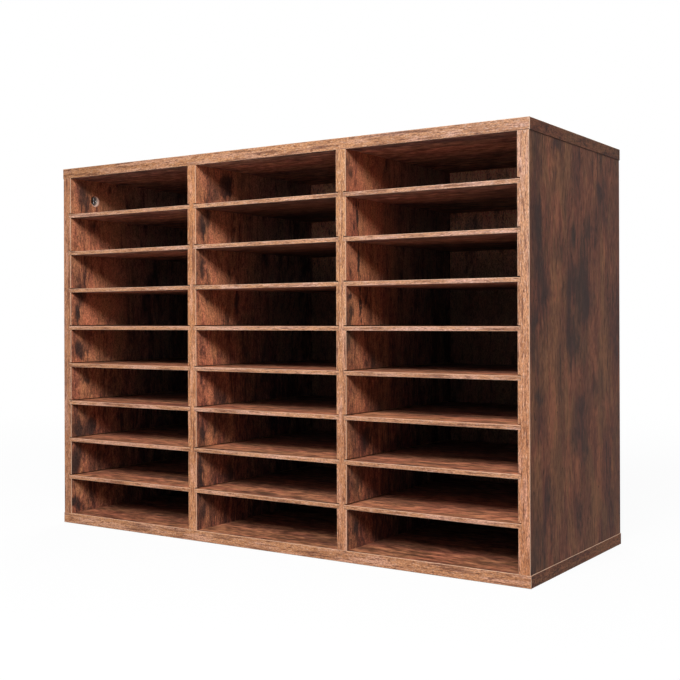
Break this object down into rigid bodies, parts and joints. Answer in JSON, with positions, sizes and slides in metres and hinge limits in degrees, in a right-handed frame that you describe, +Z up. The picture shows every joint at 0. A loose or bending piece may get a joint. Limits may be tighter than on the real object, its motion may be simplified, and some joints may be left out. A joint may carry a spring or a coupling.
{
  "type": "pigeonhole mail sorter",
  "caption": "Open-front tabletop sorter for mail and papers: a board carcase in columns, with thin loose shelves that slide out of grooves between the compartments.",
  "frame": {"origin": "middle of the footprint, on the face the sorter stands on", "axes": "+X to the right across the front, -Y out of the open front, +Z up"},
  "size_m": [0.77, 0.3, 0.54],
  "materials": {
    "board": "rustic brown wood-grain laminate, satin",
    "edge_band": "tan wood-grain edge band, satin",
    "shelf_board": "rustic brown wood-grain laminate, satin, with a tan front edge",
    "back_board": "rustic brown printed hardboard, satin",
    "zinc": "nickel-plated die casting, satin",
    "steel": "zinc-plated steel",
    "beech": "bare beech"
  },
  "bodies": {
    "carcase": {"top_panel": "board", "bottom_panel": "board", "left_side_panel": "board", "left_divider": "board", "right_divider": "board", "right_side_panel": "board", "back_panel": "back_board", "top_front_band": "edge_band", "top_left_end_band": "edge_band", "top_right_end_band": "edge_band", "bottom_front_band": "edge_band", "bottom_left_end_band": "edge_band", "bottom_right_end_band": "edge_band", "left_side_panel_front_band": "edge_band", "left_divider_front_band": "edge_band", "right_divider_front_band": "edge_band", "right_side_panel_front_band": "edge_band", "cam_locks": "zinc", "cam_bolts": "steel", "bottom_screws": "steel", "wooden_dowels": "beech"},
    "left_shelf_1": {"left_shelf_1": "shelf_board"},
    "left_shelf_2": {"left_shelf_2": "shelf_board"},
    "left_shelf_3": {"left_shelf_3": "shelf_board"},
    "left_shelf_4": {"left_shelf_4": "shelf_board"},
    "left_shelf_5": {"left_shelf_5": "shelf_board"},
    "left_shelf_6": {"left_shelf_6": "shelf_board"},
    "left_shelf_7": {"left_shelf_7": "shelf_board"},
    "left_shelf_8": {"left_shelf_8": "shelf_board"},
    "middle_shelf_1": {"middle_shelf_1": "shelf_board"},
    "middle_shelf_2": {"middle_shelf_2": "shelf_board"},
    "middle_shelf_3": {"middle_shelf_3": "shelf_board"},
    "middle_shelf_4": {"middle_shelf_4": "shelf_board"},
    "middle_shelf_5": {"middle_shelf_5": "shelf_board"},
    "middle_shelf_6": {"middle_shelf_6": "shelf_board"},
    "middle_shelf_7": {"middle_shelf_7": "shelf_board"},
    "middle_shelf_8": {"middle_shelf_8": "shelf_board"},
    "right_shelf_1": {"right_shelf_1": "shelf_board"},
    "right_shelf_2": {"right_shelf_2": "shelf_board"},
    "right_shelf_3": {"right_shelf_3": "shelf_board"},
    "right_shelf_4": {"right_shelf_4": "shelf_board"},
    "right_shelf_5": {"right_shelf_5": "shelf_board"},
    "right_shelf_6": {"right_shelf_6": "shelf_board"},
    "right_shelf_7": {"right_shelf_7": "shelf_board"},
    "right_shelf_8": {"right_shelf_8": "shelf_board"}
  },
  "joints": [
    {"name": "left_shelf_1_slide", "type": "slide", "parent": "carcase", "child": "left_shelf_1", "axis": [0, -1, 0], "range_m": [0, 0.29]},
    {"name": "left_shelf_2_slide", "type": "slide", "parent": "carcase", "child": "left_shelf_2", "axis": [0, -1, 0], "range_m": [0, 0.29]},
    {"name": "left_shelf_3_slide", "type": "slide", "parent": "carcase", "child": "left_shelf_3", "axis": [0, -1, 0], "range_m": [0, 0.29]},
    {"name": "left_shelf_4_slide", "type": "slide", "parent": "carcase", "child": "left_shelf_4", "axis": [0, -1, 0], "range_m": [0, 0.29]},
    {"name": "left_shelf_5_slide", "type": "slide", "parent": "carcase", "child": "left_shelf_5", "axis": [0, -1, 0], "range_m": [0, 0.29]},
    {"name": "left_shelf_6_slide", "type": "slide", "parent": "carcase", "child": "left_shelf_6", "axis": [0, -1, 0], "range_m": [0, 0.29]},
    {"name": "left_shelf_7_slide", "type": "slide", "parent": "carcase", "child": "left_shelf_7", "axis": [0, -1, 0], "range_m": [0, 0.29]},
    {"name": "left_shelf_8_slide", "type": "slide", "parent": "carcase", "child": "left_shelf_8", "axis": [0, -1, 0], "range_m": [0, 0.29]},
    {"name": "middle_shelf_1_slide", "type": "slide", "parent": "carcase", "child": "middle_shelf_1", "axis": [0, -1, 0], "range_m": [0, 0.29]},
    {"name": "middle_shelf_2_slide", "type": "slide", "parent": "carcase", "child": "middle_shelf_2", "axis": [0, -1, 0], "range_m": [0, 0.29]},
    {"name": "middle_shelf_3_slide", "type": "slide", "parent": "carcase", "child": "middle_shelf_3", "axis": [0, -1, 0], "range_m": [0, 0.29]},
    {"name": "middle_shelf_4_slide", "type": "slide", "parent": "carcase", "child": "middle_shelf_4", "axis": [0, -1, 0], "range_m": [0, 0.29]},
    {"name": "middle_shelf_5_slide", "type": "slide", "parent": "carcase", "child": "middle_shelf_5", "axis": [0, -1, 0], "range_m": [0, 0.29]},
    {"name": "middle_shelf_6_slide", "type": "slide", "parent": "carcase", "child": "middle_shelf_6", "axis": [0, -1, 0], "range_m": [0, 0.29]},
    {"name": "middle_shelf_7_slide", "type": "slide", "parent": "carcase", "child": "middle_shelf_7", "axis": [0, -1, 0], "range_m": [0, 0.29]},
    {"name": "middle_shelf_8_slide", "type": "slide", "parent": "carcase", "child": "middle_shelf_8", "axis": [0, -1, 0], "range_m": [0, 0.29]},
    {"name": "right_shelf_1_slide", "type": "slide", "parent": "carcase", "child": "right_shelf_1", "axis": [0, -1, 0], "range_m": [0, 0.29]},
    {"name": "right_shelf_2_slide", "type": "slide", "parent": "carcase", "child": "right_shelf_2", "axis": [0, -1, 0], "range_m": [0, 0.29]},
    {"name": "right_shelf_3_slide", "type": "slide", "parent": "carcase", "child": "right_shelf_3", "axis": [0, -1, 0], "range_m": [0, 0.29]},
    {"name": "right_shelf_4_slide", "type": "slide", "parent": "carcase", "child": "right_shelf_4", "axis": [0, -1, 0], "range_m": [0, 0.29]},
    {"name": "right_shelf_5_slide", "type": "slide", "parent": "carcase", "child": "right_shelf_5", "axis": [0, -1, 0], "range_m": [0, 0.29]},
    {"name": "right_shelf_6_slide", "type": "slide", "parent": "carcase", "child": "right_shelf_6", "axis": [0, -1, 0], "range_m": [0, 0.29]},
    {"name": "right_shelf_7_slide", "type": "slide", "parent": "carcase", "child": "right_shelf_7", "axis": [0, -1, 0], "range_m": [0, 0.29]},
    {"name": "right_shelf_8_slide", "type": "slide", "parent": "carcase", "child": "right_shelf_8", "axis": [0, -1, 0], "range_m": [0, 0.29]}
  ]
}
